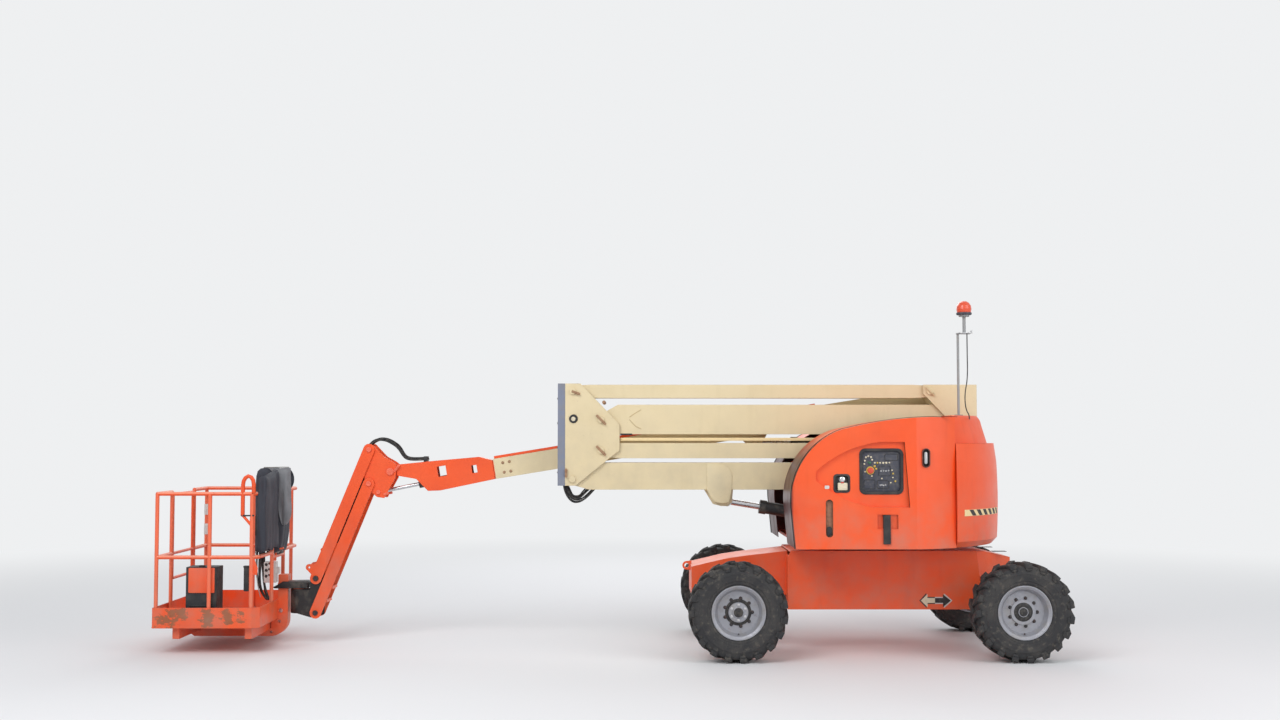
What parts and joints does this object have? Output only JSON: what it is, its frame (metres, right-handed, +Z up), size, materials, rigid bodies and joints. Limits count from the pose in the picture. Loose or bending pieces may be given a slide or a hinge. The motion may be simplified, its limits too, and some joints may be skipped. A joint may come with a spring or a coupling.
{
  "type": "articulating boom lift",
  "caption": "Wheeled articulating boom lift with a folding parallelogram tower, telescoping main boom, jib and rotating work platform.",
  "frame": {"origin": "on the ground at the middle of the machine's stowed length and width", "axes": "+X from the platform towards the counterweight, +Y away from the control side, +Z up"},
  "size_m": [7.8227, 2.31, 3.057],
  "materials": {
    "orange_paint": "gloss enamel, chalky with age",
    "orange_shell": "gel-coated moulded shell",
    "weight_paint": "painted casting",
    "cream_paint": "gloss enamel",
    "black_steel": "satin enamel",
    "grey_steel": "satin enamel",
    "bare_steel": "polished rod",
    "dark_iron": "as cast",
    "rim": "silver enamel",
    "tyre": "worn rubber",
    "black_plastic": "grained",
    "amber_plastic": "clear amber lens",
    "blue_grey_plastic": "weathered",
    "charcoal_fabric": "coated woven cloth"
  },
  "bodies": {
    "chassis": {"chassis_frame": "orange_paint", "rear_axle": "black_steel", "front_axle": "black_steel", "steer_cylinder": "black_steel", "slew_ring": "dark_iron"},
    "wheel_rear_near": {"tyre_rear_near": "tyre", "rim_rear_near": "rim"},
    "wheel_rear_far": {"tyre_rear_far": "tyre", "rim_rear_far": "rim"},
    "knuckle_near": {"knuckle_near": "black_steel"},
    "knuckle_far": {"knuckle_far": "black_steel"},
    "steer_rod": {"steer_rod": "bare_steel"},
    "wheel_front_near": {"tyre_front_near": "tyre", "rim_front_near": "rim"},
    "wheel_front_far": {"tyre_front_far": "tyre", "rim_front_far": "rim"},
    "turntable": {"turntable_frame": "orange_paint", "counterweight": "weight_paint", "rear_covers": "orange_shell", "control_panel": "black_plastic", "engine_block": "dark_iron", "hydraulic_tank": "black_steel", "beacon_mast": "grey_steel", "beacon": "amber_plastic"},
    "hood_near": {"hood_near": "orange_shell", "hood_latch_near": "black_plastic"},
    "hood_far": {"hood_far": "orange_shell", "hood_latch_far": "black_plastic"},
    "lower_boom": {"lower_boom": "cream_paint"},
    "lower_link": {"lower_link": "cream_paint"},
    "front_upright": {"front_upright": "cream_paint", "hose_guard": "blue_grey_plastic"},
    "mid_boom": {"mid_boom": "cream_paint"},
    "top_link": {"top_link": "cream_paint"},
    "rear_upright": {"rear_upright": "cream_paint"},
    "tower_ram_barrel": {"tower_ram_barrel": "black_steel"},
    "tower_ram_rod": {"tower_ram_rod": "bare_steel"},
    "main_boom": {"main_boom": "cream_paint", "hose_tray": "orange_paint"},
    "main_ram_barrel": {"main_ram_barrel": "black_steel"},
    "main_ram_rod": {"main_ram_rod": "bare_steel"},
    "fly": {"fly_boom": "orange_paint", "level_ram_barrel": "black_steel"},
    "level_ram_rod": {"level_ram_rod": "bare_steel"},
    "jib_bracket": {"jib_bracket": "orange_paint"},
    "jib_arm_upper": {"jib_arm_upper": "orange_paint"},
    "jib_arm_lower": {"jib_arm_lower": "orange_paint"},
    "jib_ram_barrel": {"jib_ram_barrel": "black_steel"},
    "jib_ram_rod": {"jib_ram_rod": "bare_steel"},
    "jib_head": {"jib_head": "black_steel"},
    "platform": {"platform_support": "orange_paint", "platform_floor": "orange_paint", "platform_rails": "orange_paint", "console": "black_plastic", "console_cover": "charcoal_fabric", "tool_box": "black_plastic"},
    "gate": {"platform_gate": "orange_paint"}
  },
  "joints": [
    {"name": "spin_rear_near", "type": "hinge", "parent": "chassis", "child": "wheel_rear_near", "pos_m": [1.11544, -1, 0.416], "axis": [0, 1, 0], "continuous": true},
    {"name": "spin_rear_far", "type": "hinge", "parent": "chassis", "child": "wheel_rear_far", "pos_m": [1.11544, 1, 0.416], "axis": [0, 1, 0], "continuous": true},
    {"name": "steer_near", "type": "hinge", "parent": "chassis", "child": "knuckle_near", "pos_m": [3.49544, -0.725, 0.416], "axis": [0, 0, 1], "range_deg": [-35, 35]},
    {"name": "steer_far", "type": "hinge", "parent": "chassis", "child": "knuckle_far", "pos_m": [3.49544, 0.725, 0.416], "axis": [0, 0, 1], "range_deg": [-35, 35]},
    {"name": "steer_rod_slide", "type": "slide", "parent": "chassis", "child": "steer_rod", "axis": [0, 1, 0], "range_m": [-0.08704, 0.08704]},
    {"name": "spin_front_near", "type": "hinge", "parent": "knuckle_near", "child": "wheel_front_near", "pos_m": [3.49544, -1, 0.416], "axis": [0, 1, 0], "continuous": true},
    {"name": "spin_front_far", "type": "hinge", "parent": "knuckle_far", "child": "wheel_front_far", "pos_m": [3.49544, 1, 0.416], "axis": [0, 1, 0], "continuous": true},
    {"name": "slew", "type": "hinge", "parent": "chassis", "child": "turntable", "pos_m": [2.30544, 0, 0.9436], "axis": [0, 0, 1], "range_deg": [-180, 180]},
    {"name": "hood_near_lift", "type": "hinge", "parent": "turntable", "child": "hood_near", "pos_m": [2.30544, -0.42, 2.027], "axis": [-1, 0, 0], "range_deg": [0, 62]},
    {"name": "hood_far_lift", "type": "hinge", "parent": "turntable", "child": "hood_far", "pos_m": [2.30544, 0.42, 2.027], "axis": [1, 0, 0], "range_deg": [0, 62]},
    {"name": "tower_lift", "type": "hinge", "parent": "turntable", "child": "lower_boom", "pos_m": [2.89544, -0.15, 1.5], "axis": [0, 1, 0], "range_deg": [0, 60]},
    {"name": "lower_link_turn", "type": "hinge", "parent": "turntable", "child": "lower_link", "pos_m": [3.15044, -0.15, 1.755], "axis": [0, 1, 0], "range_deg": [0, 60]},
    {"name": "front_upright_turn", "type": "hinge", "parent": "lower_boom", "child": "front_upright", "pos_m": [-0.30456, -0.15, 1.5], "axis": [0, 1, 0], "range_deg": [-60, 0]},
    {"name": "mid_boom_turn", "type": "hinge", "parent": "front_upright", "child": "mid_boom", "pos_m": [-0.04956, -0.15, 2.03], "axis": [0, 1, 0], "range_deg": [-60, 0]},
    {"name": "top_link_turn", "type": "hinge", "parent": "front_upright", "child": "top_link", "pos_m": [-0.30456, -0.15, 2.285], "axis": [0, 1, 0], "range_deg": [-60, 0]},
    {"name": "rear_upright_turn", "type": "hinge", "parent": "mid_boom", "child": "rear_upright", "pos_m": [3.15044, -0.15, 2.03], "axis": [0, 1, 0], "range_deg": [0, 60]},
    {"name": "tower_ram_turn", "type": "hinge", "parent": "turntable", "child": "tower_ram_barrel", "pos_m": [2.60544, -0.15, 1.05], "axis": [0, 1, 0], "range_deg": [0, 58.32]},
    {"name": "tower_ram_slide", "type": "slide", "parent": "tower_ram_barrel", "child": "tower_ram_rod", "axis": [-0.9868, 0, 0.1622], "range_m": [0, 0.53286]},
    {"name": "main_lift", "type": "hinge", "parent": "rear_upright", "child": "main_boom", "pos_m": [3.15544, 0.13, 2.265], "axis": [0, 1, 0], "range_deg": [0, 84]},
    {"name": "main_ram_turn", "type": "hinge", "parent": "rear_upright", "child": "main_ram_barrel", "pos_m": [3.08544, 0.13, 1.8], "axis": [0, 1, 0], "range_deg": [0, 75.09]},
    {"name": "main_ram_slide", "type": "slide", "parent": "main_ram_barrel", "child": "main_ram_rod", "axis": [-0.9999, 0, 0.0117], "range_m": [0, 0.54863]},
    {"name": "fly_extend", "type": "slide", "parent": "main_boom", "child": "fly", "axis": [-0.9869, 0, -0.1616], "range_m": [0, 1.9]},
    {"name": "bracket_level", "type": "hinge", "parent": "fly", "child": "jib_bracket", "pos_m": [-1.97944, 0.13, 1.56194], "axis": [0, 1, 0], "range_deg": [-84, 0]},
    {"name": "level_ram_slide", "type": "slide", "parent": "fly", "child": "level_ram_rod", "axis": [-0.9808, 0, -0.1951], "range_m": [-0.28766, 0]},
    {"name": "jib_lift", "type": "hinge", "parent": "jib_bracket", "child": "jib_arm_lower", "pos_m": [-2.17244, 0.13, 1.45294], "axis": [0, 1, 0], "range_deg": [0, 130]},
    {"name": "jib_arm_upper_turn", "type": "hinge", "parent": "jib_bracket", "child": "jib_arm_upper", "pos_m": [-2.17244, 0.13, 1.76294], "axis": [0, 1, 0], "range_deg": [0, 130]},
    {"name": "jib_head_turn", "type": "hinge", "parent": "jib_arm_lower", "child": "jib_head", "pos_m": [-2.64444, 0.13, 0.28469], "axis": [0, 1, 0], "range_deg": [-130, 0]},
    {"name": "jib_ram_turn", "type": "hinge", "parent": "jib_bracket", "child": "jib_ram_barrel", "pos_m": [-2.17244, 0.13, 1.76294], "axis": [0, 1, 0], "range_deg": [0, 125.9]},
    {"name": "jib_ram_slide", "type": "slide", "parent": "jib_ram_barrel", "child": "jib_ram_rod", "axis": [-0.3042, 0, -0.9526], "range_m": [-0.55491, 0]},
    {"name": "platform_rotate", "type": "hinge", "parent": "jib_head", "child": "platform", "pos_m": [-2.81044, 0.13, 0.28469], "axis": [0, 0, 1], "range_deg": [-90, 90]},
    {"name": "gate_swing", "type": "hinge", "parent": "platform", "child": "gate", "pos_m": [-3.88844, -0.1697, 0.836], "axis": [0, 0, 1], "range_deg": [-90, 0]}
  ],
  "couplings": [
    {"joint": "steer_far", "follows": "steer_near", "ratio": 1},
    {"joint": "steer_rod_slide", "follows": "steer_near", "m_per_rad": -0.14084},
    {"joint": "lower_link_turn", "follows": "tower_lift", "ratio": 1},
    {"joint": "front_upright_turn", "follows": "tower_lift", "ratio": -1},
    {"joint": "mid_boom_turn", "follows": "tower_lift", "ratio": -1},
    {"joint": "top_link_turn", "follows": "tower_lift", "ratio": -1},
    {"joint": "rear_upright_turn", "follows": "tower_lift", "ratio": 1},
    {"joint": "tower_ram_turn", "follows": "tower_lift", "ratio": 0.97203},
    {"joint": "tower_ram_slide", "follows": "tower_lift", "m_per_rad": 0.50875},
    {"joint": "main_ram_turn", "follows": "main_lift", "ratio": 0.89392},
    {"joint": "main_ram_slide", "follows": "main_lift", "m_per_rad": 0.37415},
    {"joint": "bracket_level", "follows": "main_lift", "ratio": -1},
    {"joint": "level_ram_slide", "follows": "main_lift", "m_per_rad": -0.19615},
    {"joint": "jib_arm_upper_turn", "follows": "jib_lift", "ratio": 1},
    {"joint": "jib_head_turn", "follows": "jib_lift", "ratio": -1},
    {"joint": "jib_ram_turn", "follows": "jib_lift", "ratio": 0.96845},
    {"joint": "jib_ram_slide", "follows": "jib_lift", "m_per_rad": -0.24453}
  ]
}
